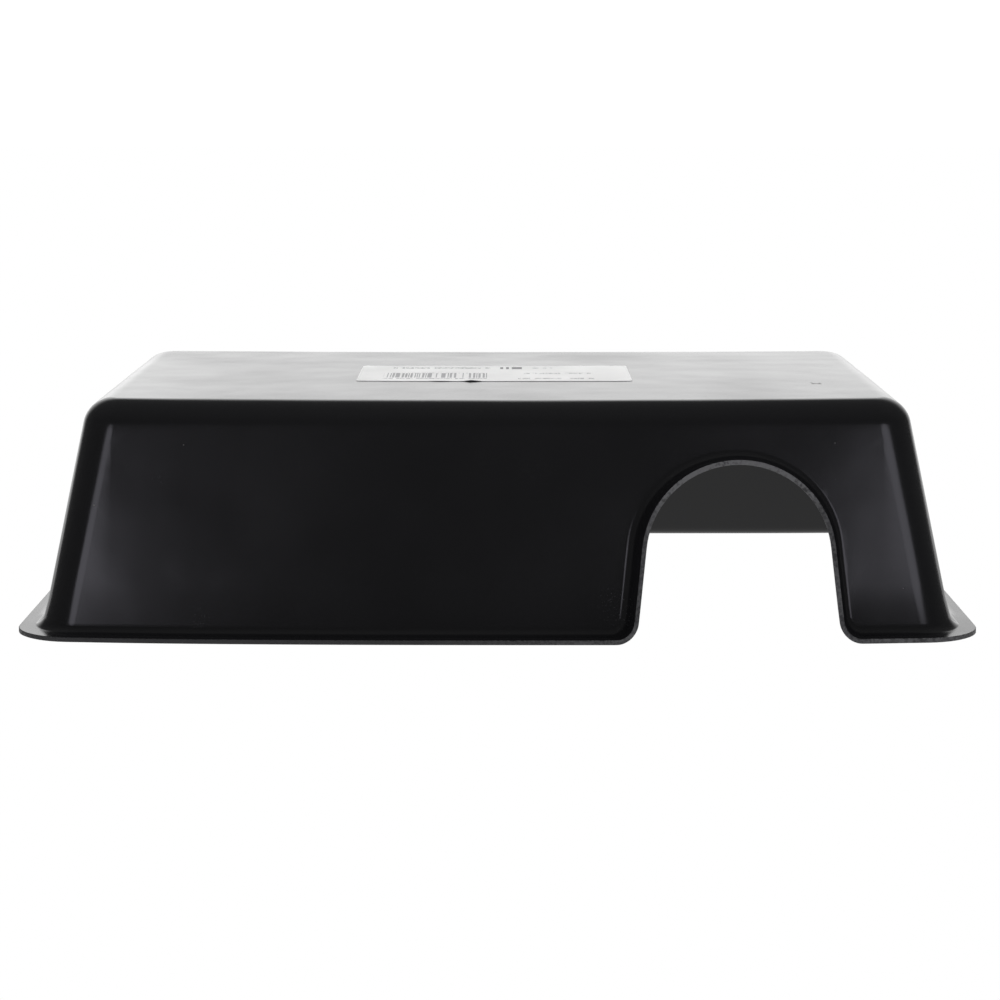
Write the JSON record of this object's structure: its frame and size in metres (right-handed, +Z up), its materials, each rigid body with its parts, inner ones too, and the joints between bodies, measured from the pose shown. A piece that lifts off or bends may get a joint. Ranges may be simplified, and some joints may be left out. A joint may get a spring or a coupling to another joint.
{
  "type": "reptile hide box",
  "caption": "Black plastic hide box for a reptile or small animal: open underneath, sloping walls, flanged foot, arched doorway with a turned-out lip, and a label on its flat top.",
  "frame": {"origin": "on the ground under the middle of the box, at the centre of its bounding box", "axes": "+X along the long side, towards the end with the doorway; -Y out of the doorway; +Z up"},
  "size_m": [0.3, 0.2, 0.0732],
  "materials": {
    "black_plastic": "semi-gloss black formed plastic sheet, with faint scuffs and a paler trimmed edge",
    "label_paper": "white coated paper label, printed in black"
  },
  "bodies": {
    "root": {"hide_shell": "black_plastic", "product_label": "label_paper"}
  },
  "joints": []
}
